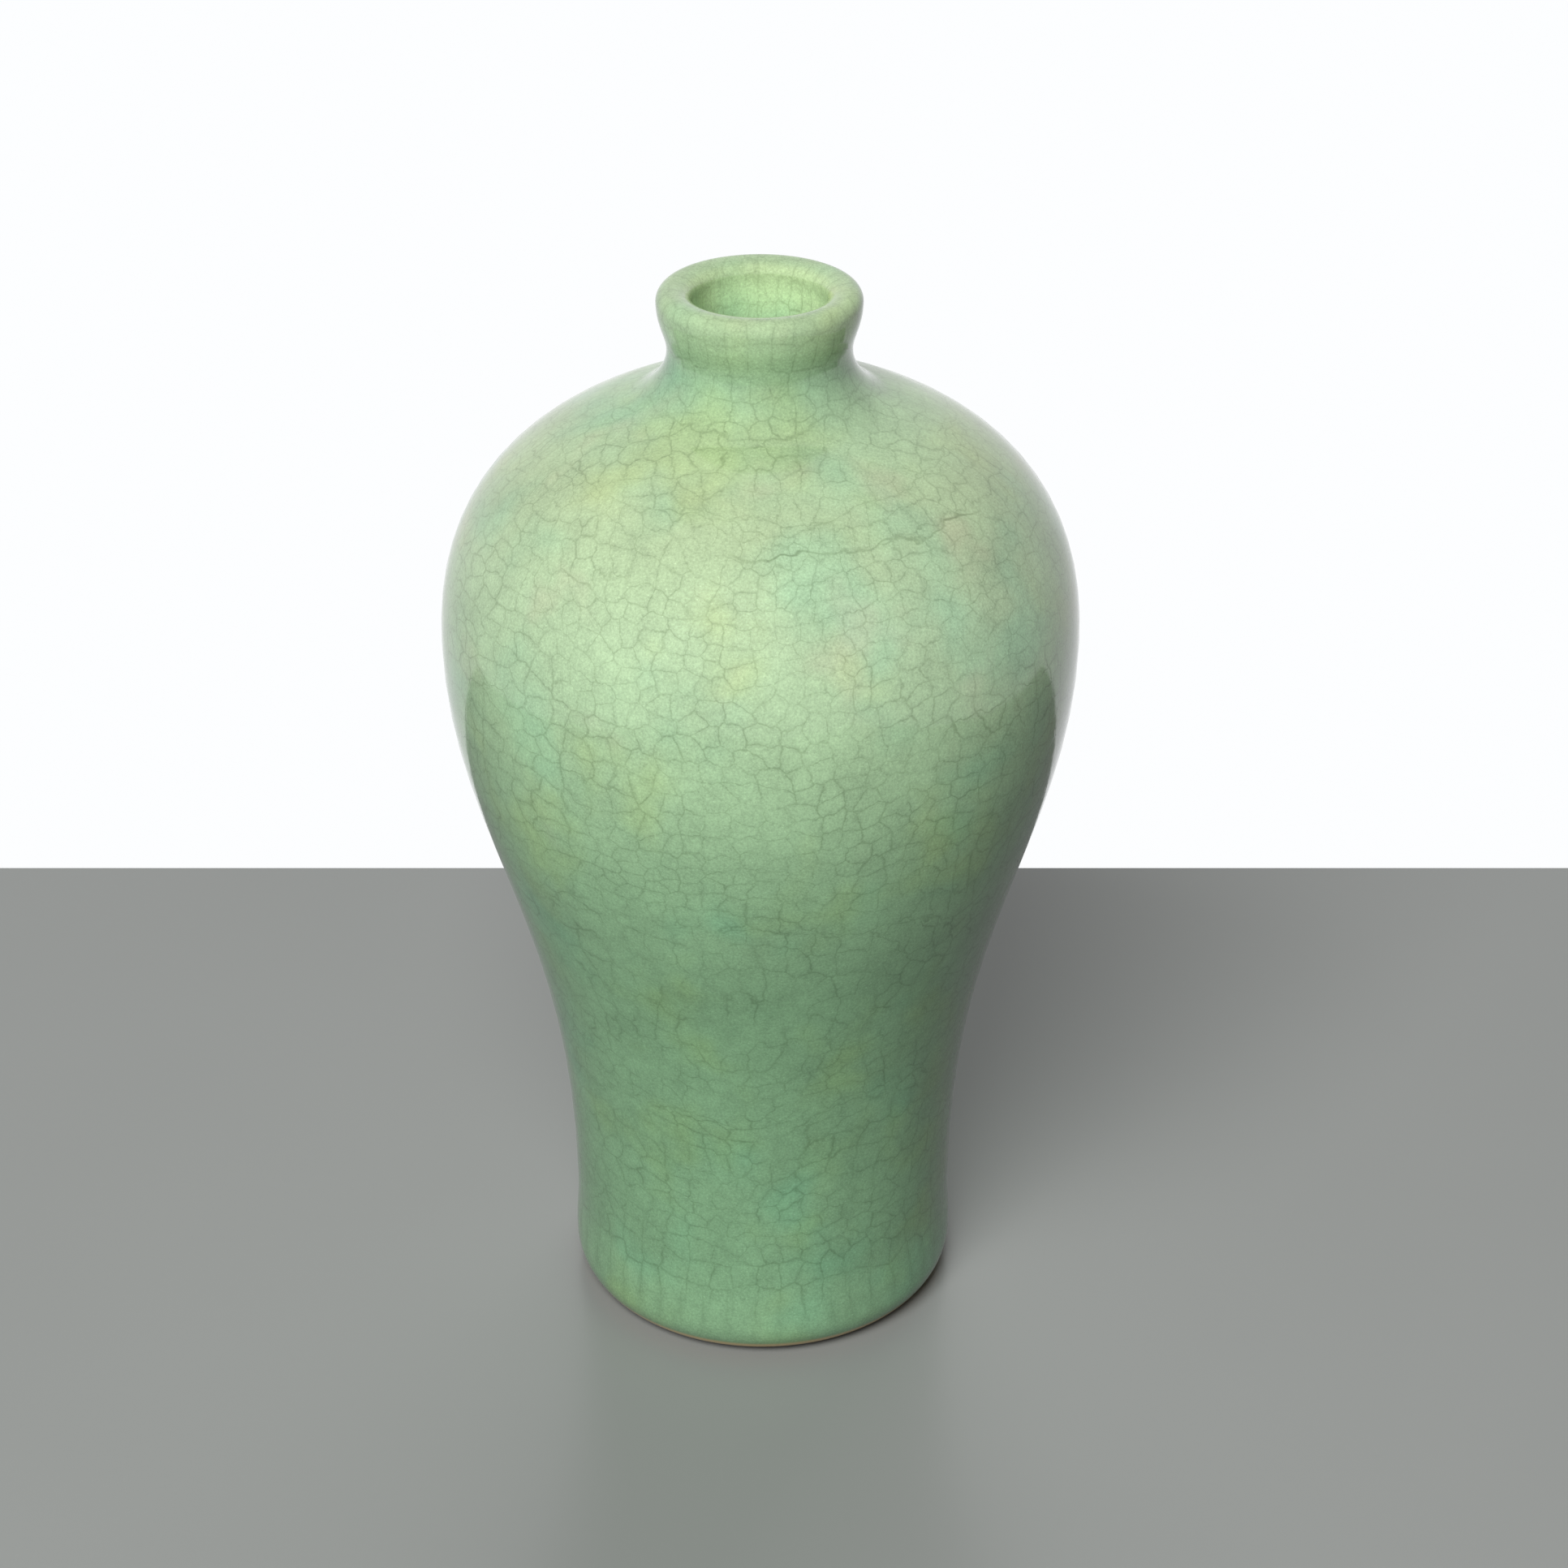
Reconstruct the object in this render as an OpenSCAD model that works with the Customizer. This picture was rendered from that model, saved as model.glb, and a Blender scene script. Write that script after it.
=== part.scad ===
// Meiping vase: a wheel-thrown stoneware bottle with a narrow mouth, high shoulder and slim foot.
// Three thrown sections are luted together with slip, turned at the foot and coated with glaze.
// Everything is turned about Z, in millimetres, with the foot standing on z = 0.

/* [Foot] */
// Radius of the clay where the foot meets the surface it stands on
foot_r = 45; // [42:0.5:48]
// Radius of the swelling just above the foot
foot_swell_r = 50.1; // [48:0.1:53]
// Height of that swelling
foot_swell_z = 10; // [8:0.5:14]
// Width of the ring that the vase stands on
foot_ring_w = 6.5; // [5:0.5:9]
// Depth of the turned recess inside the foot ring
recess_depth = 5; // [3:0.5:7]
// Thickness of the clay floor above the recess
floor_t = 8.5; // [6:0.5:12]
// Height over which the floor curves up into the wall
floor_curve_h = 20; // [14:1:26]
// Width of the foot ring's sloping inner side
ring_side_w = 2.5; // [1.5:0.1:4]

/* [Body] */
// Radius of the clay at the waist, the slimmest place above the foot
waist_r = 49.4; // [45:0.1:52]
// Height of the waist
waist_z = 27; // [22:1:36]
// Radius of the clay at the belly, the widest place
belly_r = 78.4; // [70:0.2:86]
// Height of the belly
belly_z = 190.5; // [175:0.5:205]
// Thickness of the thrown wall at the belly and shoulder
wall_t = 5.6; // [4.5:0.1:7]
// Thickness of the thrown wall at the waist
waist_wall_t = 8; // [6:0.5:10]

/* [Shoulder and neck] */
// Rise from the belly to the root of the neck
shoulder_h = 59.9; // [53:0.1:66]
// Radius at the root of the neck, where the dome turns into the neck
root_r = 32.7; // [30:0.1:36]
// Steepness of the dome at the root of the neck
root_slope = 20.5; // [17:0.5:25]
// Rise from the root of the neck to its slimmest place
neck_h = 14; // [12:0.1:17]
// Radius of the clay at the slimmest place of the neck
neck_r = 21.5; // [20:0.1:24]
// Radius of the throat in the clay, at the same height
throat_r = 16.2; // [14.5:0.1:17.5]

/* [Lip] */
// Rise from the slimmest place of the neck to the widest place of the lip
lip_rise = 12.2; // [10:0.1:15]
// Radius of the lip at its widest
lip_r = 24.1; // [23:0.1:27]
// Radius of the highest ring of the lip
crown_r = 21.4; // [20:0.1:22.5]
// Height of the crown above the widest place of the lip
crown_h = 2.8; // [2:0.1:4]
// Radius of the mouth inside the lip
mouth_r = 16.8; // [15:0.1:18]

/* [Luting seams] */
// Height of the seam between the lower section and the belly section
waist_seam_z = 112; // [100:1:125]
// Drop from the root of the neck to the seam between the belly section and the shoulder
shoulder_seam_drop = 13.4; // [10:0.1:21]
// Thickness of the slip between two sections
slip_t = 1; // [0.6:0.1:1.6]
// Height of the tongue on each section's upper edge
tongue_h = 2; // [1:0.1:3]
// Height of the ridge that the smoothed slip leaves inside the wall
ridge_h = 0.8; // [0.4:0.1:1.2]
// Half width of that ridge
ridge_w = 4; // [3:0.5:6]

/* [Throwing rings] */
// Height of the finger rings inside the wall
ring_h = 0.35; // [0.1:0.05:0.5]
// Spacing of the finger rings
ring_pitch = 12; // [9:0.5:16]

/* [Glaze] */
// Thickness of the glaze outside
glaze_t = 0.8; // [0.5:0.05:1.2]
// Thickness of the glaze over the crown of the lip, where it runs thin
lip_glaze_t = 0.6; // [0.4:0.05:0.8]
// Thickness of the glaze inside
inner_glaze_t = 0.7; // [0.5:0.05:1]
// Height at which the glaze stops above the foot
glaze_edge_z = 1.2; // [0.8:0.1:2]
// Length over which the edge of the glaze rounds off
glaze_edge_w = 1.4; // [0.8:0.1:2]
// Thickness of the glaze on the base
base_glaze_t = 0.5; // [0.3:0.05:0.8]
// Bare clay left between the base glaze and the foot ring
base_bare_w = 2; // [1:0.5:4]

/* [Hidden] */

TINY = 0.00001;
CIRCLE_HANDLE = 0.5523;

// Heights of the stations up the outside
root_z = belly_z + shoulder_h;
neck_z = root_z + neck_h;
lip_z = neck_z + lip_rise;
crown_z = lip_z + crown_h;

// Direction up the dome at the root of the neck, and the outward normal there
root_dir = [-cos(root_slope), sin(root_slope)];
root_out = [sin(root_slope), cos(root_slope)];

// Stations of the inside face
inner_root = [root_r, root_z] - root_out * wall_t;
inner_belly_r = belly_r - wall_t;
inner_waist_r = waist_r - waist_wall_t;
floor_z = recess_depth + floor_t;
inner_waist_z = floor_z + floor_curve_h;
ring_in_r = foot_r - foot_ring_w;

// The clay's face is one chain of Bezier curves. It starts where the foot meets the surface, runs up
// the outside, over the lip and down the inside, and ends at the middle of the floor.
waist_rise = waist_z - foot_swell_z;
belly_rise = belly_z - waist_z;
inner_rise = belly_z - inner_waist_z;
chain = [
    [[foot_r, 0], [foot_r + 0.45 * (foot_swell_r - foot_r), 0.2 * foot_swell_z],
     [foot_swell_r, 0.45 * foot_swell_z], [foot_swell_r, foot_swell_z]],
    [[foot_swell_r, foot_swell_z], [foot_swell_r, foot_swell_z + 0.4 * waist_rise],
     [waist_r, waist_z - 0.5 * waist_rise], [waist_r, waist_z]],
    [[waist_r, waist_z], [waist_r, waist_z + 0.523 * belly_rise],
     [belly_r, belly_z - 0.309 * belly_rise], [belly_r, belly_z]],
    [[belly_r, belly_z], [belly_r, belly_z + 0.554 * shoulder_h],
     [root_r, root_z] - root_dir * 0.516 * shoulder_h, [root_r, root_z]],
    [[root_r, root_z], [root_r, root_z] + root_dir * 0.39 * neck_h,
     [neck_r, neck_z - 0.42 * neck_h], [neck_r, neck_z]],
    [[neck_r, neck_z], [neck_r, neck_z + 0.35 * lip_rise],
     [lip_r, lip_z - 0.45 * lip_rise], [lip_r, lip_z]],
    [[lip_r, lip_z], [lip_r, lip_z + CIRCLE_HANDLE * crown_h],
     [crown_r + CIRCLE_HANDLE * (lip_r - crown_r), crown_z], [crown_r, crown_z]],
    [[crown_r, crown_z], [crown_r - CIRCLE_HANDLE * (crown_r - mouth_r), crown_z],
     [mouth_r, lip_z + CIRCLE_HANDLE * crown_h], [mouth_r, lip_z]],
    [[mouth_r, lip_z], [mouth_r, lip_z - 0.4 * lip_rise],
     [throat_r, neck_z + 0.4 * lip_rise], [throat_r, neck_z]],
    [[throat_r, neck_z], [throat_r, neck_z - 0.5 * neck_h],
     inner_root + root_dir * 0.8 * neck_h, inner_root],
    [inner_root, inner_root - root_dir * 0.473 * shoulder_h,
     [inner_belly_r, belly_z + 0.517 * shoulder_h], [inner_belly_r, belly_z]],
    [[inner_belly_r, belly_z], [inner_belly_r, belly_z - 0.309 * inner_rise],
     [inner_waist_r, inner_waist_z + 0.523 * inner_rise], [inner_waist_r, inner_waist_z]],
    [[inner_waist_r, inner_waist_z], [inner_waist_r, floor_z + 0.35 * (inner_waist_z - floor_z)],
     [0.6 * inner_waist_r, floor_z], [0, floor_z]]
];

// Greatest distance between two points on each curve of the chain
chain_steps = [1.2, 3, 5, 4, 1.6, 1.5, 0.6, 0.8, 1.6, 2, 2, 2, 4];
CROWN = 7;
THROAT = 9;
END = len(chain);

function bezier(c, t) =
    let (s = 1 - t)
    s * s * s * c[0] + 3 * s * s * t * c[1] + 3 * s * t * t * c[2] + t * t * t * c[3];
function bezier_slope(c, t) =
    let (s = 1 - t)
    s * s * (c[1] - c[0]) + 2 * s * t * (c[2] - c[1]) + t * t * (c[3] - c[2]);

// A place on the chain is the curve's number plus how far along that curve it lies
function curve_of(u) = min(floor(u), END - 1);
function smooth_face(u) = bezier(chain[curve_of(u)], u - curve_of(u));
function along(u) = let (d = bezier_slope(chain[curve_of(u)], u - curve_of(u))) d / norm(d);
function outward(u) = let (d = along(u)) [d.y, -d.x];

// Place of a height on the outside, which climbs from 0 to CROWN, and on the inside, which falls
function outside_at(z, low = 0, high = CROWN) =
    high - low < TINY ? (low + high) / 2 :
    let (mid = (low + high) / 2)
    smooth_face(mid).y < z ? outside_at(z, mid, high) : outside_at(z, low, mid);
function inside_at(z, low = CROWN, high = END) =
    high - low < TINY ? (low + high) / 2 :
    let (mid = (low + high) / 2)
    smooth_face(mid).y > z ? inside_at(z, mid, high) : inside_at(z, low, mid);

// A seam is [lower place outside, upper place outside, lower place inside, upper place inside]
function seam(z) =
    let (u = outside_at(z), rise = slip_t / 2 * along(u).y, drop = wall_t * outward(u).y)
    [outside_at(z - rise), outside_at(z + rise),
     inside_at(z - rise - drop), inside_at(z + rise - drop)];
waist_seam = seam(waist_seam_z);
shoulder_seam = seam(root_z - shoulder_seam_drop);
seams = [waist_seam, shoulder_seam];

// Ridges on the inside: a round one along each seam, and the finger rings below the throat
function seam_ridge(z, s) =
    let (middle = (smooth_face(s[2]).y + smooth_face(s[3]).y) / 2, x = (z - middle) / ridge_w)
    abs(x) < 1 ? ridge_h * (0.5 + 0.5 * cos(180 * x)) : 0;
function fade(x) = max(0, min(1, x));
function finger_ring(z) =
    ring_h * (0.5 - 0.5 * cos(360 * z / ring_pitch))
    * fade((inner_root.y - z) / ring_pitch) * fade((z - inner_waist_z) / ring_pitch);
function ridges(u) =
    u < THROAT ? 0 :
    let (z = smooth_face(u).y)
    max(seam_ridge(z, waist_seam), seam_ridge(z, shoulder_seam), finger_ring(z));
function clay_face(u) = smooth_face(u) + ridges(u) * outward(u);

// Glaze lies on the clay and rounds off at its lower edge
glaze_start = outside_at(glaze_edge_z);
function glaze_edge(u) =
    u > 1 ? 1 : u < glaze_start + TINY ? 0 :
    let (x = fade((smooth_face(u).y - glaze_edge_z) / glaze_edge_w))
    sqrt(1 - (1 - x) * (1 - x));
function glaze_depth(u) =
    glaze_edge(u) * lookup(u, [[4, glaze_t], [CROWN, lip_glaze_t], [THROAT, inner_glaze_t]]);
function glaze_face(u) = clay_face(u) + glaze_depth(u) * outward(u);

// Every face is sampled at the same places, so that neighbours meet without a gap or an overlap
function sorted(list) =
    len(list) < 2 ? list :
    let (pivot = list[floor(len(list) / 2)])
    concat(sorted([for (x = list) if (x < pivot) x]),
           [for (x = list) if (x == pivot) x],
           sorted([for (x = list) if (x > pivot) x]));
glaze_edge_places = [for (i = [0:4]) outside_at(glaze_edge_z + glaze_edge_w * pow(i / 4, 2))];
stops = sorted(concat([for (i = [0:END]) i], [for (s = seams) each s], glaze_edge_places));
function between(a, b) =
    let (length = norm(smooth_face(b) - smooth_face(a)),
         pieces = max(1, ceil(length / chain_steps[curve_of((a + b) / 2)])))
    [for (i = [0:pieces - 1]) a + (b - a) * i / pieces];
places = concat([for (i = [0:len(stops) - 2]) if (stops[i + 1] - stops[i] > 10 * TINY)
                 each between(stops[i], stops[i + 1])], [END]);
function places_in(a, b) = [for (u = places) if (u > a - TINY && u < b + TINY) u];
function reversed(list) = [for (i = [len(list) - 1:-1:0]) list[i]];

// Edge of a section across the wall, from outside to inside, with its tongue in the middle
TONGUE = [[0.28, 0], [0.42, 1], [0.58, 1], [0.72, 0]];
function joint_edge(out, in) =
    let (a = clay_face(out), b = clay_face(in))
    [for (p = TONGUE) a + (b - a) * p.x + along(out) * tongue_h * p.y];

// Ring of clay between two joints. A joint is [place outside, place inside]
module thrown_ring(low, high) {
    rotate_extrude($fn = 180)
        polygon(concat(
            [for (u = places_in(low[0], high[0])) clay_face(u)],
            joint_edge(high[0], high[1]),
            [for (u = places_in(high[1], low[1])) clay_face(u)],
            reversed(joint_edge(low[0], low[1]))));
}

// Underside of the foot, from the middle of the recess to the ring that it stands on
recess_r = ring_in_r - ring_side_w;
ring_side = [[recess_r, recess_depth], [ring_in_r - 0.2 * ring_side_w, recess_depth],
             [ring_in_r - 0.2 * ring_side_w, 0.2 * recess_depth], [ring_in_r, 0]];
underside = concat([[0, recess_depth]], [for (i = [0:8]) bezier(ring_side, i / 8)]);

module lower_section() {
    joint = [waist_seam[0], waist_seam[2]];
    color("tan")
        rotate_extrude($fn = 180)
            polygon(concat(
                underside,
                [for (u = places_in(0, joint[0])) clay_face(u)],
                joint_edge(joint[0], joint[1]),
                [for (u = places_in(joint[1], END)) clay_face(u)]));
}

module belly_section() {
    color("burlywood")
        thrown_ring([waist_seam[1], waist_seam[3]], [shoulder_seam[0], shoulder_seam[2]]);
}

module shoulder_and_neck() {
    joint = [shoulder_seam[1], shoulder_seam[3]];
    color("wheat")
        rotate_extrude($fn = 180)
            polygon(concat(
                [for (u = places_in(joint[0], joint[1])) clay_face(u)],
                reversed(joint_edge(joint[0], joint[1]))));
}

module seam_slip(s) {
    color("peru")
        thrown_ring([s[0], s[2]], [s[1], s[3]]);
}

// Coat of glaze between two places on the clay
module glaze_coat(from, to) {
    covered = places_in(from, to);
    rotate_extrude($fn = 180)
        polygon(concat(
            [for (u = covered) if (glaze_depth(u) > TINY) glaze_face(u)],
            [for (u = reversed(covered)) clay_face(u)]));
}

module outer_glaze() {
    color("darkseagreen") glaze_coat(glaze_start, THROAT);
}

module inner_glaze() {
    color("mediumseagreen") glaze_coat(THROAT, END);
}

module base_glaze() {
    edge_r = recess_r - base_bare_w;
    rounded = [for (i = [0:5]) let (a = 18 * i)
               [edge_r - base_glaze_t * (1 - cos(a)), recess_depth - base_glaze_t * sin(a)]];
    color("seagreen")
        rotate_extrude($fn = 180)
            polygon(concat([[0, recess_depth]], rounded, [[0, recess_depth - base_glaze_t]]));
}

lower_section();
belly_section();
shoulder_and_neck();
seam_slip(waist_seam);  // waist_seam_slip
seam_slip(shoulder_seam);  // shoulder_seam_slip
outer_glaze();
inner_glaze();
base_glaze();
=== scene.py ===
import math

import bmesh
import bpy
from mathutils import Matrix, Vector, noise


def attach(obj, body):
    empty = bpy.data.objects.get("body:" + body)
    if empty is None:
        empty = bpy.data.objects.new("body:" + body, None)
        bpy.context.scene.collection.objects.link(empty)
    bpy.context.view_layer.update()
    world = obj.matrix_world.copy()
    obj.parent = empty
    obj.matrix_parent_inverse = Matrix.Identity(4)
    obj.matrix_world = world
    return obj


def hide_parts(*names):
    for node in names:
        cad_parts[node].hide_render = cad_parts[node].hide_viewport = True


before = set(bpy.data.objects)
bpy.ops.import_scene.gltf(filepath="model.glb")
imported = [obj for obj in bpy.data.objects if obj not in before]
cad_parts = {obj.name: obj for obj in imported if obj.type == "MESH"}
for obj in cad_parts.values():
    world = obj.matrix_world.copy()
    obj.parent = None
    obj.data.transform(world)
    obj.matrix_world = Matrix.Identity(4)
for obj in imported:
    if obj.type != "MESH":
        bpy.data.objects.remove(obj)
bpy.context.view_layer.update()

# Outline of the vase
# Lengths are in millimetres until a piece is made, which brings them to metres.
MM = 0.001
ROUND = 0.5523          # handle of a quarter circle drawn as one Bezier curve

FOOT_R, FOOT_RING_W, RING_SIDE_W = 45.0, 6.5, 2.5
SWELL_R, SWELL_Z = 50.1, 10.0
WAIST_R, WAIST_Z = 49.4, 27.0
BELLY_R, BELLY_Z = 78.4, 190.5
DOME_H, ROOT_R, ROOT_SLOPE = 59.9, 32.7, math.radians(20.5)
NECK_H, NECK_R, THROAT_R = 14.0, 21.5, 16.2
LIP_RISE, LIP_R, CROWN_R, CROWN_H, MOUTH_R = 12.2, 24.1, 21.4, 2.8, 16.8
WALL, WAIST_WALL = 5.6, 8.0
RECESS, FLOOR_T, FLOOR_CURVE = 5.0, 8.5, 20.0
GLAZE, LIP_GLAZE, INNER_GLAZE, BASE_GLAZE = 0.8, 0.6, 0.7, 0.5
GLAZE_EDGE_Z, GLAZE_EDGE_W = 1.2, 1.4
WAIST_SEAM_Z, DOME_SEAM_Z = 112.0, 237.0

# The craze lines. There are more cells round the vase above each of two heights, as it grows wider.
CELL, NECK_CELL = 5.8, 6.8
CELLS_ROUND_FOOT, CELLS_ADDED = 49.0, 15.0
WIDER_Z, WIDEST_Z = 78.0, 142.0
CROWN_CELLS_R, CROWN_CELLS_Z = 50.0, 200.0
UNDER_CELLS_R, UNDER_CELLS_Z = 38.0, 30.0
NECK_CELLS_R, NECK_CELLS_Z, CELLS_ROUND_NECK = 27.5, 244.0, 30.0
UPRIGHTS_ROUND, UPRIGHT_GAP = 48.0, 6.5
JOINT_CRACK_START, JOINT_CRACK_END = -0.10, 1.0       # how far it runs round from the front, in radians

ROOT_Z = BELLY_Z + DOME_H
NECK_Z = ROOT_Z + NECK_H
LIP_Z = NECK_Z + LIP_RISE
HEIGHT = LIP_Z + CROWN_H + LIP_GLAZE
FLOOR_Z = RECESS + FLOOR_T


def curves_of_face(outer, lip, inner):
    """The Bezier curves of the clay's face, from the foot up the outside, over the lip and down to the
    floor's middle. They are lifted by the thickness of the glaze on the outside, the lip and the inside."""
    up_dome = Vector((-math.cos(ROOT_SLOPE), math.sin(ROOT_SLOPE)))
    off_dome = Vector((math.sin(ROOT_SLOPE), math.cos(ROOT_SLOPE)))
    waist_rise, belly_rise = WAIST_Z - SWELL_Z, BELLY_Z - WAIST_Z
    inner_waist_z = FLOOR_Z + FLOOR_CURVE
    inner_rise = BELLY_Z - inner_waist_z
    swell, waist, belly, neck = (r + outer for r in (SWELL_R, WAIST_R, BELLY_R, NECK_R))
    lip_r, crown_z, mouth = LIP_R + lip, LIP_Z + CROWN_H + lip, MOUTH_R - lip
    throat, belly_in, waist_in = (r - inner for r in (THROAT_R, BELLY_R - WALL, WAIST_R - WAIST_WALL))
    root = Vector((ROOT_R, ROOT_Z)) + off_dome * outer
    root_in = Vector((ROOT_R, ROOT_Z)) - off_dome * (WALL + inner)
    floor_z = FLOOR_Z + inner
    curves = [
        [(FOOT_R + outer, 0), (FOOT_R + outer + 0.45 * (SWELL_R - FOOT_R), 0.2 * SWELL_Z),
         (swell, 0.45 * SWELL_Z), (swell, SWELL_Z)],
        [(swell, SWELL_Z), (swell, SWELL_Z + 0.4 * waist_rise),
         (waist, WAIST_Z - 0.5 * waist_rise), (waist, WAIST_Z)],
        [(waist, WAIST_Z), (waist, WAIST_Z + 0.523 * belly_rise),
         (belly, BELLY_Z - 0.309 * belly_rise), (belly, BELLY_Z)],
        [(belly, BELLY_Z), (belly, BELLY_Z + 0.554 * DOME_H), root - up_dome * 0.516 * DOME_H, root],
        [root, root + up_dome * 0.39 * NECK_H, (neck, NECK_Z - 0.42 * NECK_H), (neck, NECK_Z)],
        [(neck, NECK_Z), (neck, NECK_Z + 0.35 * LIP_RISE), (lip_r, LIP_Z - 0.45 * LIP_RISE), (lip_r, LIP_Z)],
        [(lip_r, LIP_Z), (lip_r, LIP_Z + ROUND * (crown_z - LIP_Z)),
         (CROWN_R + ROUND * (lip_r - CROWN_R), crown_z), (CROWN_R, crown_z)],
        [(CROWN_R, crown_z), (CROWN_R - ROUND * (CROWN_R - mouth), crown_z),
         (mouth, LIP_Z + ROUND * (crown_z - LIP_Z)), (mouth, LIP_Z)],
        [(mouth, LIP_Z), (mouth, LIP_Z - 0.4 * LIP_RISE),
         (throat, NECK_Z + 0.4 * LIP_RISE), (throat, NECK_Z)],
        [(throat, NECK_Z), (throat, NECK_Z - 0.5 * NECK_H), root_in + up_dome * 0.8 * NECK_H, root_in],
        [root_in, root_in - up_dome * 0.473 * DOME_H,
         (belly_in, BELLY_Z + 0.517 * DOME_H), (belly_in, BELLY_Z)],
        [(belly_in, BELLY_Z), (belly_in, BELLY_Z - 0.309 * inner_rise),
         (waist_in, inner_waist_z + 0.523 * inner_rise), (waist_in, inner_waist_z)],
        [(waist_in, inner_waist_z), (waist_in, floor_z + 0.35 * (inner_waist_z - floor_z)),
         (0.6 * waist_in, floor_z), (0, floor_z)],
    ]
    return [[Vector(p) for p in curve] for curve in curves]


def part_above(curve, z):
    """The rest of a Bezier curve that climbs, from height z on."""
    low, high = 0.0, 1.0
    for _ in range(40):
        t = (low + high) / 2
        points, rest = curve, [curve[-1]]
        while len(points) > 1:
            points = [a.lerp(b, t) for a, b in zip(points, points[1:])]
            rest.append(points[-1])
        low, high = (t, high) if rest[-1].y < z else (low, t)
    return rest[::-1]


def straight(a, b):
    a, b = Vector(a), Vector(b)
    return [a, a.lerp(b, 1 / 3), a.lerp(b, 2 / 3), b]


def other_way(curves):
    """The same path, drawn from its end to its start."""
    return [curve[::-1] for curve in reversed(curves)]


def turned(name, curves, resolution=16, steps=192):
    """A solid of revolution: a closed outline of Bezier curves, spun about the vase's axis."""
    outline = bpy.data.curves.new(name, "CURVE")
    outline.dimensions = "3D"
    outline.resolution_u = resolution
    spline = outline.splines.new("BEZIER")
    spline.use_cyclic_u = True
    spline.bezier_points.add(len(curves) - 1)
    for knot, before, after in zip(spline.bezier_points, curves[-1:] + curves[:-1], curves):
        knot.handle_left_type = knot.handle_right_type = "FREE"
        knot.co = (after[0].x * MM, 0, after[0].y * MM)
        knot.handle_left = (before[2].x * MM, 0, before[2].y * MM)
        knot.handle_right = (after[1].x * MM, 0, after[1].y * MM)
    drawn = bpy.data.objects.new(name, outline)
    mesh = bpy.data.meshes.new_from_object(drawn)
    bpy.data.objects.remove(drawn)
    bpy.data.curves.remove(outline)
    bm = bmesh.new()
    bm.from_mesh(mesh)
    bmesh.ops.spin(bm, geom=bm.verts[:] + bm.edges[:], cent=(0, 0, 0), axis=(0, 0, 1),
                   angle=math.tau, steps=steps, use_merge=True)
    bmesh.ops.remove_doubles(bm, verts=bm.verts, dist=0.000004)
    return bm, mesh


def finished(name, bm, mesh, finish, node):
    """Writes the piece, smooth but for its corners, and seats it in the frame in place of that node."""
    bmesh.ops.recalc_face_normals(bm, faces=bm.faces)
    for face in bm.faces:
        face.smooth = True
    for edge in bm.edges:
        edge.smooth = edge.is_manifold and edge.calc_face_angle() < 0.6
    bm.to_mesh(mesh)
    bm.free()
    mesh.name = name
    mesh.materials.append(finish)
    piece = bpy.data.objects.new(name, mesh)
    bpy.context.scene.collection.objects.link(piece)
    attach(piece, "root")
    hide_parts(node)


# How a material is written
class Shade:
    """One output of a shader node. Sums and products of shades add the nodes that work them out."""

    def __init__(self, socket):
        self.socket = socket

    def node(self, kind, values, output=0, **settings):
        """A node in the same material: its settings first, then the values or links of its sockets."""
        made = self.socket.id_data.nodes.new("ShaderNode" + kind)
        for name, setting in settings.items():
            if name == "stops":
                while len(made.color_ramp.elements) < len(setting):
                    made.color_ramp.elements.new(0.5)
                for element, (place, colour) in zip(made.color_ramp.elements, setting):
                    element.position, element.color = place, colour
            else:
                setattr(made, name, setting)
        for name, value in values.items():
            if isinstance(value, Shade):
                self.socket.id_data.links.new(value.socket, made.inputs[name])
            else:
                made.inputs[name].default_value = value
        return Shade(made.outputs[output])

    def work(self, operation, *values):
        if all(v.socket.type == "VALUE" for v in values if isinstance(v, Shade)):
            return self.node("Math", dict(enumerate(values)), operation=operation)
        wide = [Vector((v, v, v)) if isinstance(v, (int, float)) else v for v in values]
        return self.node("VectorMath", dict(enumerate(wide)), operation=operation)

    def __add__(self, other):
        return self.work("ADD", self, other)

    def __radd__(self, other):
        return self.work("ADD", other, self)

    def __sub__(self, other):
        return self.work("SUBTRACT", self, other)

    def __rsub__(self, other):
        return self.work("SUBTRACT", other, self)

    def __mul__(self, other):
        return self.work("MULTIPLY", self, other)

    def __rmul__(self, other):
        return self.work("MULTIPLY", other, self)

    def __truediv__(self, other):
        return self.work("DIVIDE", self, other)

    def __pow__(self, other):
        return self.work("POWER", self, other)

    def __abs__(self):
        return self.work("ABSOLUTE", self)

    def parts(self):
        """The three numbers of a vector or colour."""
        return [self.node("SeparateXYZ", {0: self}, i) for i in range(3)]


def larger(a, b):
    return a.work("MAXIMUM", a, b)


def smaller(a, b):
    return a.work("MINIMUM", a, b)


def rising(value, low, high):
    """0 below low, 1 above high and smooth between."""
    return value.node("MapRange", {0: value, 1: low, 2: high}, interpolation_type="SMOOTHSTEP")


def falling(value, low, high):
    """1 below low, 0 above high and smooth between."""
    return 1.0 - rising(value, low, high)


def blend(share, a, b):
    """Colour a, with that share of colour b."""
    return share.node("Mix", {0: share, 6: a, 7: b}, 2, data_type="RGBA")


def colour(r, g, b):
    return (r, g, b, 1.0)


def is_positive(value):
    return value.node("Math", {0: value, 1: 0.0}, operation="GREATER_THAN")


def place_of(u, v):
    return u.node("CombineXYZ", {0: u, 1: v})


def way_round(x, y):
    """How far round the axis a place is, from the front at 0 to the back at pi and minus pi."""
    return x.node("Math", {0: x, 1: 0.0 - y}, operation="ARCTAN2")


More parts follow.
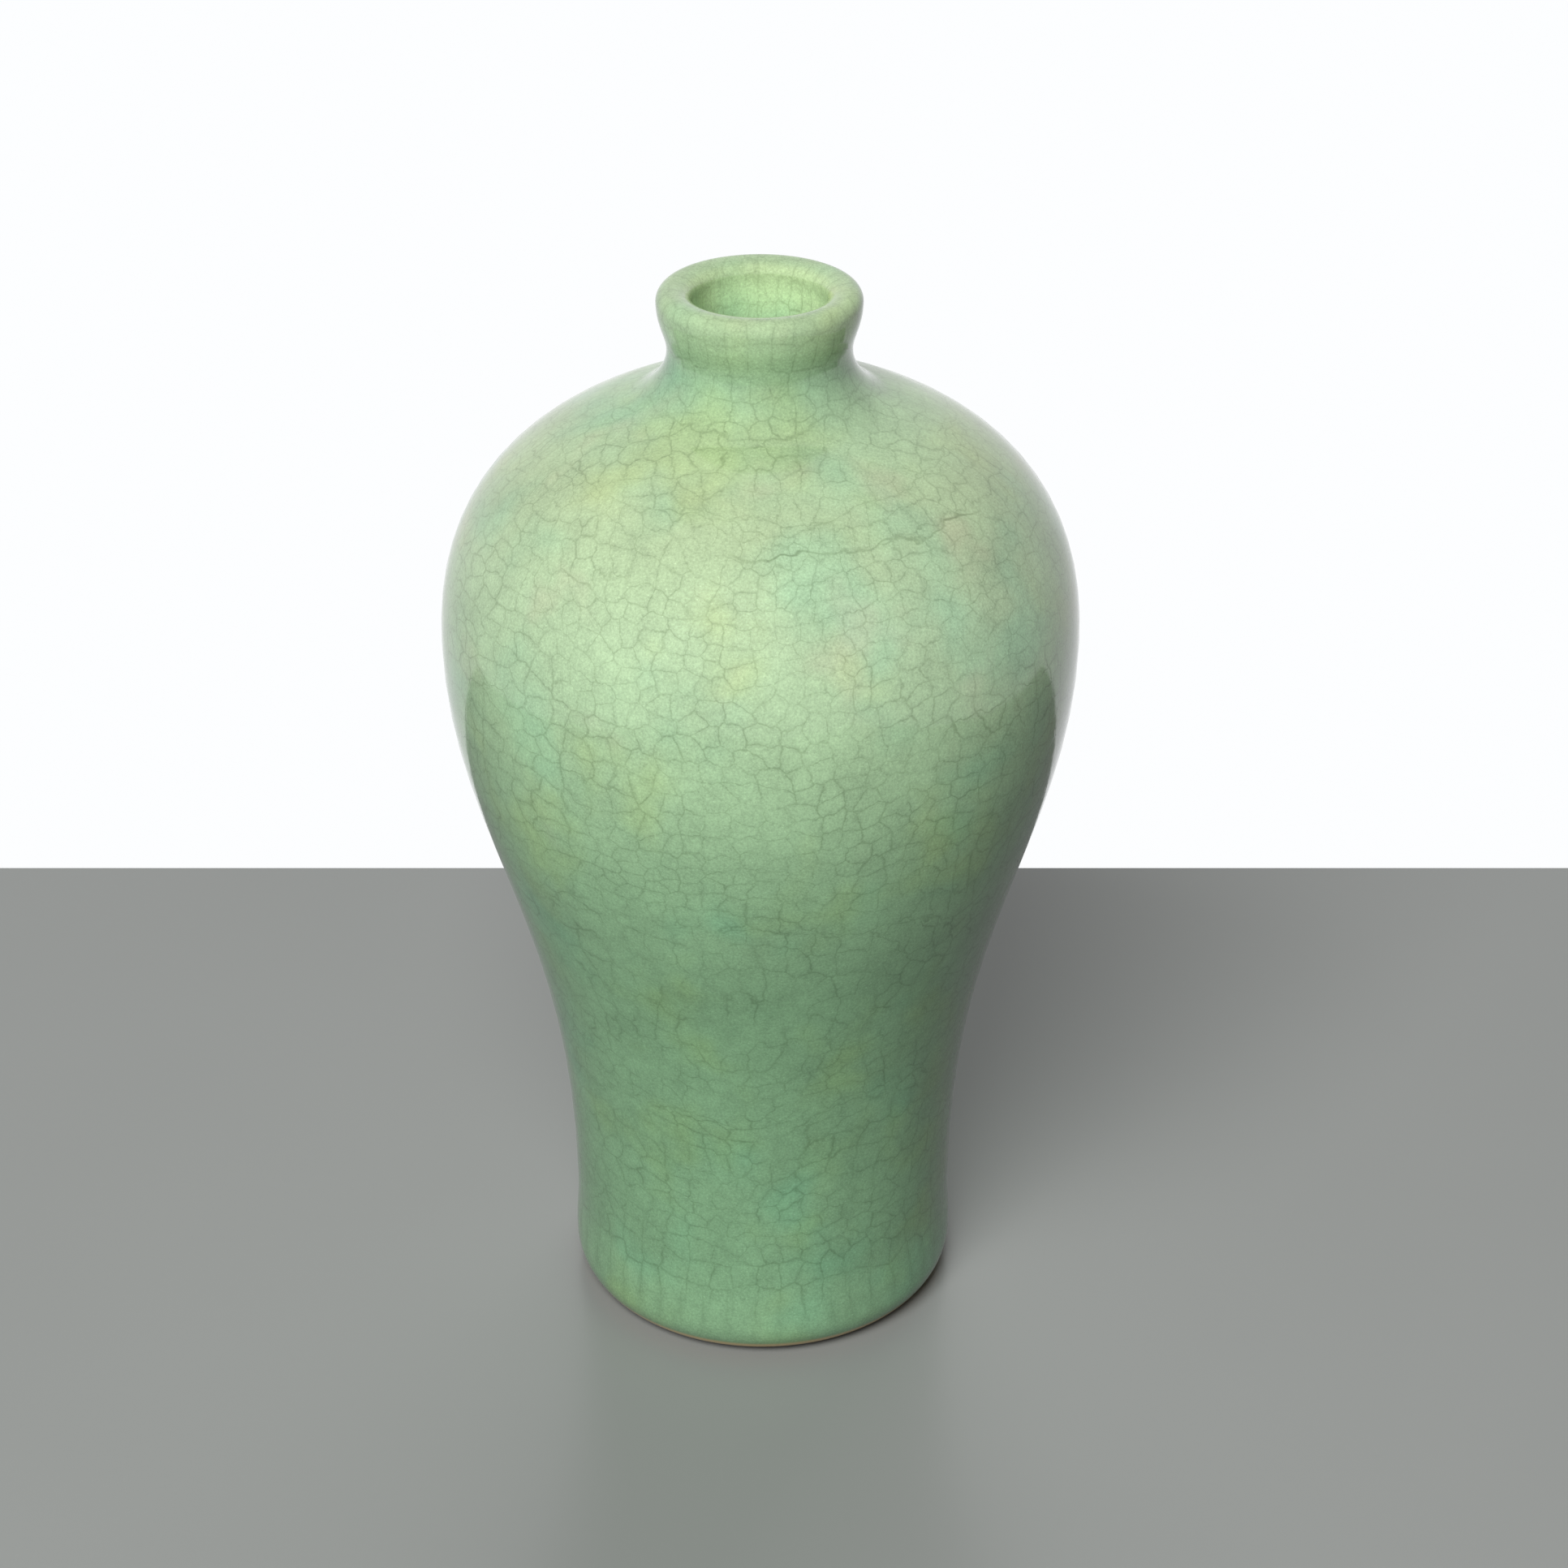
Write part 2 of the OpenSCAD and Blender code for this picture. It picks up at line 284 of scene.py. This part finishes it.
def clouds(spot, size, detail=2.0, roughness=0.5, output="Fac"):
    values = {"Vector": spot, "Scale": 1 / size, "Detail": detail, "Roughness": roughness}
    return spot.node("TexNoise", values, output)


def cells(spot, size, output):
    return spot.node("TexVoronoi", {"Vector": spot, "Scale": 1 / size}, output)


def crack_gap(place, socket, dimensions, randomness):
    """How far a place is from the nearest crack between cells that are about 1 wide."""
    values = {socket: place, "Scale": 1.0, "Randomness": randomness}
    return place.node("TexVoronoi", values, "Distance",
                      feature="DISTANCE_TO_EDGE", voronoi_dimensions=dimensions)


def thin(gap, width):
    """A line of that width along a crack, soft at its edges."""
    return falling(gap, width * 0.1, width * 0.9)


def material(name):
    """A new material, and the place on the piece in millimetres."""
    made = bpy.data.materials.new(name)
    made.use_nodes = True
    made.node_tree.nodes.clear()
    start = Shade(made.node_tree.nodes.new("ShaderNodeTexCoord").outputs["Object"])
    return made, start * 1000.0


def coated(made, spot, values):
    """Ends a material in one Principled shader."""
    shader = spot.node("BsdfPrincipled", values)
    out = made.node_tree.nodes.new("ShaderNodeOutputMaterial")
    made.node_tree.links.new(shader.socket, out.inputs["Surface"])
    return made


# Finishes
def wavering(spot, z):
    """The place moved to and fro, so that what is drawn on it wavers, and how far from calm it is there.
    The lines are calmest, and nearly straight, just above the foot and on the neck."""
    sway = 0.25 + 0.75 * rising(z, 14, 60) * falling(z, 236, 262)
    lively = rising(z, 16, 36) * falling(z, 254, 266)
    moves = ((46.0, 16.0 * sway), (12.0, 3.6 * sway), (3.4, 0.8 + 1.2 * lively), (1.1, 0.3 + 0.3 * lively))
    moved = spot
    for size, reach in moves:
        moved = moved + (clouds(spot, size, 0.0, output="Color") - 0.5) * reach
    return moved, lively


def craze_gaps(spot, z):
    """How many millimetres a place is from the nearest craze line, and from the nearest upright at the foot.
    The cells are laid out flat: round the wall, across the crown and the underside, and round the neck.
    A craze line follows the border wherever one layout meets the next."""
    moved, lively = wavering(spot, z)
    x, y, height = moved.parts()
    radius = (x * x + y * y) ** 0.5
    turn = way_round(x, y) / math.tau
    wander = (clouds(spot, 26, 1.0) - 0.5) * 24.0

    wider, widest = height + wander - WIDER_Z, height + wander - WIDEST_Z
    crown = smaller(CROWN_CELLS_R + 0.5 * wander - radius, height - CROWN_CELLS_Z)
    under = smaller(UNDER_CELLS_R - radius, UNDER_CELLS_Z - height)
    neck = smaller(NECK_CELLS_R + 0.1 * wander - radius, height - NECK_CELLS_Z)
    cells_round = CELLS_ROUND_FOOT + CELLS_ADDED * is_positive(wider) + CELLS_ADDED * is_positive(widest)
    up_wall = (height * 1.12 - 0.62 * radius + 14.0 * falling(height, -10, 40)) / CELL
    up_neck = (height - 0.8 * radius) / NECK_CELL
    flat = place_of(turn * cells_round, up_wall + cells_round)
    flat = blend(is_positive(larger(crown, under)), flat, place_of(x / CELL + 200.0, y / CELL))
    flat = blend(is_positive(neck), flat, place_of(turn * CELLS_ROUND_NECK + 300.0, up_neck))
    gap = crack_gap(flat, "Vector", "2D", 0.42 + 0.24 * lively) * CELL
    for border in (wider, widest, crown, neck, (0.5 - abs(turn)) * math.tau * radius):
        gap = smaller(gap, abs(border))

    upright_gap = crack_gap(turn * UPRIGHTS_ROUND, "W", "1D", 0.5) * UPRIGHT_GAP
    return gap, upright_gap


def joint_crack(spot, z):
    """The glaze cracked harder along the upper joint, on one side."""
    x, y, _ = spot.parts()
    way = way_round(x, y)
    gap = abs(z + (clouds(spot, 7, 2.0) - 0.5) * 5.0 - DOME_SEAM_Z) * 1.5
    here = rising(way, JOINT_CRACK_START - 0.06, JOINT_CRACK_START + 0.06)
    here = here * falling(way, JOINT_CRACK_END - 0.08, JOINT_CRACK_END + 0.08)
    return thin(gap, 0.65) * here * (0.6 + 0.4 * rising(clouds(spot, 11, 1.0), 0.40, 0.56)) * 1.7


def crackle(spot, radius, z):
    """Craze lines in the glaze: how strong the dark lines, their soft shadows and the pale lines of painted
    highlight are.
    """
    gap, upright_gap = craze_gaps(spot, z)
    uneven = rising(clouds(spot, 18, 2.0), 0.32, 0.66)
    faint = rising(clouds(spot + Vector((50.0, 0.0, 20.0)), 5.0, 1.0), 0.30, 0.62)
    lines = thin(gap, 0.30 + 0.14 * uneven) * (0.25 + 0.30 * uneven + 0.45 * faint)
    lines = lines * (1.0 - 0.45 * rising(z, 268, 276))
    shadows = thin(gap, 1.6) * (0.4 + 0.6 * uneven)

    # Some of the lines on the lower body are pale instead: a painted highlight, as if they caught the light
    highlight_painted_here = rising(z, 55, 80) * falling(z, 135, 160) * rising(clouds(spot, 13, 1.0), 0.50, 0.62)
    painted_highlight_lines = lines * highlight_painted_here
    lines = larger(lines * (1.0 - 0.8 * highlight_painted_here), joint_crack(spot, z))

    # Just above the foot they stand upright, blurred by the thick glaze
    at_foot = falling(z, 12, 24) * rising(radius, 41, 44)
    lines = lines * (1.0 - at_foot) + thin(upright_gap, 0.5) * at_foot * rising(z, 9, 18) * 0.7
    shadows = shadows * (1.0 - at_foot) + thin(upright_gap, 2.6) * at_foot * rising(z, 5, 12) * 1.2
    return lines, shadows, painted_highlight_lines


def glaze_colour_with_painted_light(spot, radius, z):
    """Colour of the glaze by height: deeper green low on the body, partly the glaze's own colour and partly
    painted shade where the body faces down, and paler on the lip, where the glaze is thin, with painted light
    and shade near the lip and in the mouth.
    """
    share_of_height = z / HEIGHT
    # The darker neck and the dark band just below the lip are painted shade, and the sharp step up to the
    # pale band on the lip's front is the edge of a painted reflection.
    body = share_of_height.node("ValToRGB", {0: share_of_height}, stops=[
        (0.0, colour(0.288, 0.500, 0.277)), (0.10, colour(0.245, 0.448, 0.247)),
        (0.42, colour(0.261, 0.476, 0.261)), (0.54, colour(0.326, 0.558, 0.312)),
        (0.68, colour(0.403, 0.600, 0.350)), (0.79, colour(0.416, 0.563, 0.340)),
        (0.86, colour(0.372, 0.482, 0.280)), (0.94, colour(0.278, 0.451, 0.264)),
        (0.975, colour(0.425, 0.620, 0.352)), (1.0, colour(0.338, 0.462, 0.260))])
    # Inside the mouth the glaze is made paler: painted light, making up for the shade down the throat.
    mouth = falling(radius, 16.5, 19.0) * rising(z, 240, 250)
    body = blend(mouth, body, body * Vector((1.20, 1.13, 1.08)))
    cool = rising(clouds(spot, 34, 2.0, 0.6), 0.50, 0.74)
    warm = rising(clouds(spot + Vector((90.0, 40.0, 10.0)), 30, 2.0, 0.6), 0.50, 0.74)
    blush = rising(clouds(spot + Vector((10.0, 70.0, 55.0)), 22, 2.0, 0.5), 0.58, 0.78) * rising(z, 120, 200)
    body = blend(cool, body, body * Vector((0.88, 1.00, 1.03)))
    body = blend(warm, body, body * Vector((1.07, 1.02, 0.88)))
    return blend(blush, body, body * Vector((1.10, 0.98, 1.02)))


def celadon(name):
    """Pale green glaze, cloudy and full of bubbles, with its craze lines."""
    made, spot = material(name)
    x, y, z = spot.parts()
    radius = (x * x + y * y) ** 0.5
    lines, shadows, painted_highlight_lines = crackle(spot, radius, z)

    grain = clouds(spot, 0.6, 2.0, 0.8)
    mottle = clouds(spot, 3.2, 2.0, 0.6)
    patch = clouds(spot, 16.0, 2.0, 0.6)
    body = glaze_colour_with_painted_light(spot, radius, z) * (0.25 + 0.84 * grain + 0.24 * mottle + 0.42 * patch)

    # Bubbles under the surface show as tiny pale dots
    dot_chance = cells(spot, 1.0, "Color").parts()[1]
    dots = falling(cells(spot, 1.0, "Distance"), 0.08, 0.24) * rising(dot_chance, 0.50, 0.85)
    body = blend(dots * 0.50, body, body * 1.25 + 0.07)

    # The craze lines are dark, or pale in places with a painted highlight, with a soft shadow along them
    body = body * (1.0 - shadows * 0.07)
    body = blend(lines * 0.40, body, body * Vector((0.44, 0.46, 0.38)))
    body = blend(painted_highlight_lines * 0.25, body, body * 1.25 + 0.03)

    # The glaze thins to the colour of the clay at its lower edge
    body = blend(falling(z, 3.2, 4.8) * 0.9, body, colour(1.0, 0.72, 0.30))

    # It isn't quite level, and lies a little hollow where the dome meets the neck
    hollow = 0.25 * rising(radius, 27, 35) + 0.6 * rising(radius, 30, 44)
    relief = clouds(spot, 26, 2.0) * 0.20 + clouds(spot * Vector((0.5, 0.5, 1.6)), 9, 1.0) * 0.03
    relief = relief - lines * 0.010 + grain * 0.004 + hollow * rising(z, 220, 240)
    bump = relief.node("Bump", {"Strength": 1.0, "Distance": 0.001, "Height": relief})
    return coated(made, spot, {
        "Base Color": body, "Roughness": 0.06 + 0.06 * mottle, "IOR": 1.46, "Normal": bump})


def biscuit(name, base, burnt):
    """Bare fired clay: fine grit, darker specks and the fine rings of the turning tool."""
    made, spot = material(name)
    x, y, _ = spot.parts()
    radius = (x * x + y * y) ** 0.5
    grit = clouds(spot, 0.6, 3.0, 0.7)
    stain = clouds(spot, 12, 3.0, 0.6)
    clay = blend(rising(stain, 0.4, 0.7) * 0.7, base, burnt)
    clay = clay * (0.8 + 0.4 * grit)
    speck = falling(cells(spot, 1.3, "Distance") * 1.3, 0.15, 0.3)
    clay = blend(speck * 0.5, clay, colour(0.08, 0.05, 0.03))
    rings = radius * 9.0 + stain * 6.0
    rings = rings.node("Math", {0: rings}, operation="SINE")
    relief = grit * 0.05 + rings * 0.02
    bump = relief.node("Bump", {"Strength": 1.0, "Distance": 0.001, "Height": relief})
    return coated(made, spot, {
        "Base Color": clay, "Roughness": 0.75 + 0.15 * grit, "IOR": 1.45, "Normal": bump})


def seen_directly(start):
    """1 for what the camera, a reflection or glass looks at, and 0 for the light that only bounces softly."""
    camera, mirror, glass = (start.node("LightPath", {}, name) for name in
                             ("Is Camera Ray", "Is Glossy Ray", "Is Transmission Ray"))
    return larger(larger(camera, mirror), glass)


def level_floor(name):
    """A pale table, which looks the same in a reflection and throws little light back on the vase."""
    made, spot = material(name)
    shade = clouds(spot, 140, 2.0, 0.5)
    body = blend(shade, colour(0.245, 0.255, 0.245), colour(0.262, 0.272, 0.262))
    body = blend(seen_directly(spot), colour(0.08, 0.08, 0.08), body)
    return coated(made, spot, {"Base Color": body, "Roughness": 0.22, "IOR": 1.4})


glaze_out = celadon("glaze_outside")
glaze_in = celadon("glaze_inside")
glaze_under = celadon("glaze_under_foot")
clay = biscuit("bare_clay", colour(0.42, 0.27, 0.16), colour(0.30, 0.17, 0.09))
slip = biscuit("joining_slip", colour(0.36, 0.24, 0.15), colour(0.28, 0.18, 0.11))

# Pieces
face = curves_of_face(0, 0, 0)
shine = curves_of_face(GLAZE, LIP_GLAZE, INNER_GLAZE)
THROAT = 9

# The outer glaze rounds off onto the clay just above the foot
clay_edge = part_above(face[0], GLAZE_EDGE_Z)
glaze_edge = part_above(shine[0], GLAZE_EDGE_Z + GLAZE_EDGE_W)
start, full = clay_edge[0], glaze_edge[0]
slope = (glaze_edge[1] - full).normalized()
off = Vector((slope.y, -slope.x))
rounding = [start, start + off * 0.6 * GLAZE, full - slope * 0.6 * GLAZE_EDGE_W, full]
outside = [rounding, glaze_edge] + shine[1:THROAT] + [straight(shine[THROAT - 1][3], face[THROAT - 1][3])]
outside += other_way(face[1:THROAT]) + [clay_edge[::-1]]
bm, mesh = turned("outer_glaze_coat", outside)
finished("outer_glaze_coat", bm, mesh, glaze_out, "outer_glaze")

inside = shine[THROAT:] + [straight(shine[-1][3], face[-1][3])] + other_way(face[THROAT:])
inside += [straight(face[THROAT][0], shine[THROAT][0])]
bm, mesh = turned("inner_glaze_coat", inside, steps=144)
finished("inner_glaze_coat", bm, mesh, glaze_in, "inner_glaze")

# The lower section's clay, with the foot ring and the recess turned into its underside
ring_in = FOOT_R - FOOT_RING_W
recess_r = ring_in - RING_SIDE_W
near_ring = ring_in - 0.2 * RING_SIDE_W
underside = [straight((0, RECESS), (recess_r, RECESS)),
             [Vector((recess_r, RECESS)), Vector((near_ring, RECESS)),
              Vector((near_ring, 0.2 * RECESS)), Vector((ring_in, 0))],
             straight((ring_in, 0), (FOOT_R, 0))]
bm, mesh = turned("lower_clay_section", underside + face + [straight(face[-1][3], (0, RECESS))])
cut = bmesh.ops.bisect_plane(bm, geom=bm.verts[:] + bm.edges[:] + bm.faces[:], dist=0.000001,
                             plane_co=(0, 0, WAIST_SEAM_Z * MM), plane_no=(0, 0, 1), clear_outer=True)
rim = [g for g in cut["geom_cut"] if isinstance(g, bmesh.types.BMEdge)]
bmesh.ops.bridge_loops(bm, edges=rim)
finished("lower_clay_section", bm, mesh, clay, "lower_section")

# The patch of glaze in the recess, with an uneven poured edge
patch_r = recess_r - 2.0
low = RECESS - BASE_GLAZE
patch = [straight((0, low), (patch_r - BASE_GLAZE, low)),
         [Vector((patch_r - BASE_GLAZE, low)), Vector((patch_r - 0.45 * BASE_GLAZE, low)),
          Vector((patch_r, RECESS - 0.55 * BASE_GLAZE)), Vector((patch_r, RECESS))],
         straight((patch_r, RECESS), (0, RECESS)), straight((0, RECESS), (0, low))]
bm, mesh = turned("base_glaze_patch", patch, resolution=12, steps=144)
for vert in bm.verts:
    way = math.atan2(vert.co.y, vert.co.x)
    vert.co.xy *= 1 + 0.016 * (noise.noise(Vector((math.cos(way), math.sin(way), 0.3)) * 2.2) - 0.5)
finished("base_glaze_patch", bm, mesh, glaze_under, "base_glaze")

for name, made in (("belly_section", clay), ("shoulder_and_neck", clay),
                   ("waist_seam_slip", slip), ("shoulder_seam_slip", slip)):
    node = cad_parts[name]
    node.data.materials.clear()
    node.data.materials.append(made)

# Floor, light and camera
bm = bmesh.new()
corners = [bm.verts.new((x, y, 0)) for x, y in ((-0.55, -0.9), (0.55, -0.9), (0.55, 0.204), (-0.55, 0.204))]
bm.faces.new(corners)
mesh = bpy.data.meshes.new("floor")
bm.to_mesh(mesh)
bm.free()
mesh.materials.append(level_floor("floor"))
floor = bpy.data.objects.new("floor", mesh)
bpy.context.scene.collection.objects.link(floor)


def soft_light(name, side, rise, away, size, light):
    """A square lamp aimed at the vase, turned sideways from the front and raised, in degrees.
    Its light is 1 where a surface that faces it shows its colour as written."""
    lamp = bpy.data.lights.new(name, "AREA")
    lamp.size = size
    lamp.energy = light * (math.pi * away) ** 2
    side, rise = math.radians(side), math.radians(rise)
    way = Vector((math.sin(side) * math.cos(rise), -math.cos(side) * math.cos(rise), math.sin(rise)))
    placed = bpy.data.objects.new(name, lamp)
    placed.location = Vector((0, 0, 0.15)) + way * away
    placed.rotation_euler = way.to_track_quat("Z", "Y").to_euler()
    placed.visible_glossy = False
    bpy.context.scene.collection.objects.link(placed)


soft_light("key", -18, 45, 1.7, 0.9, 1.3)
soft_light("from_behind", 170, 42, 1.7, 1.2, 0.4)

# White surroundings, which reflections show as the camera sees them and which add a little soft light
world = bpy.data.worlds.new("studio")
world.use_nodes = True
tree = world.node_tree
background = tree.nodes["Background"]
strength = 0.05 + seen_directly(Shade(background.outputs["Background"])) * 0.95
tree.links.new(strength.socket, background.inputs["Strength"])
background.inputs["Color"].default_value = (0.98, 0.99, 1.0, 1.0)
bpy.context.scene.world = world
bpy.context.scene.view_settings.view_transform = "Standard"

lens = bpy.data.cameras.new("camera")
lens.sensor_width = 36.0
lens.lens = 77.76
camera = bpy.data.objects.new("camera", lens)
camera.location = (0.0058, -0.7564, 0.5671)
camera.rotation_euler = (math.radians(90 - 29.14), 0, 0)
bpy.context.scene.collection.objects.link(camera)
bpy.context.scene.camera = camera
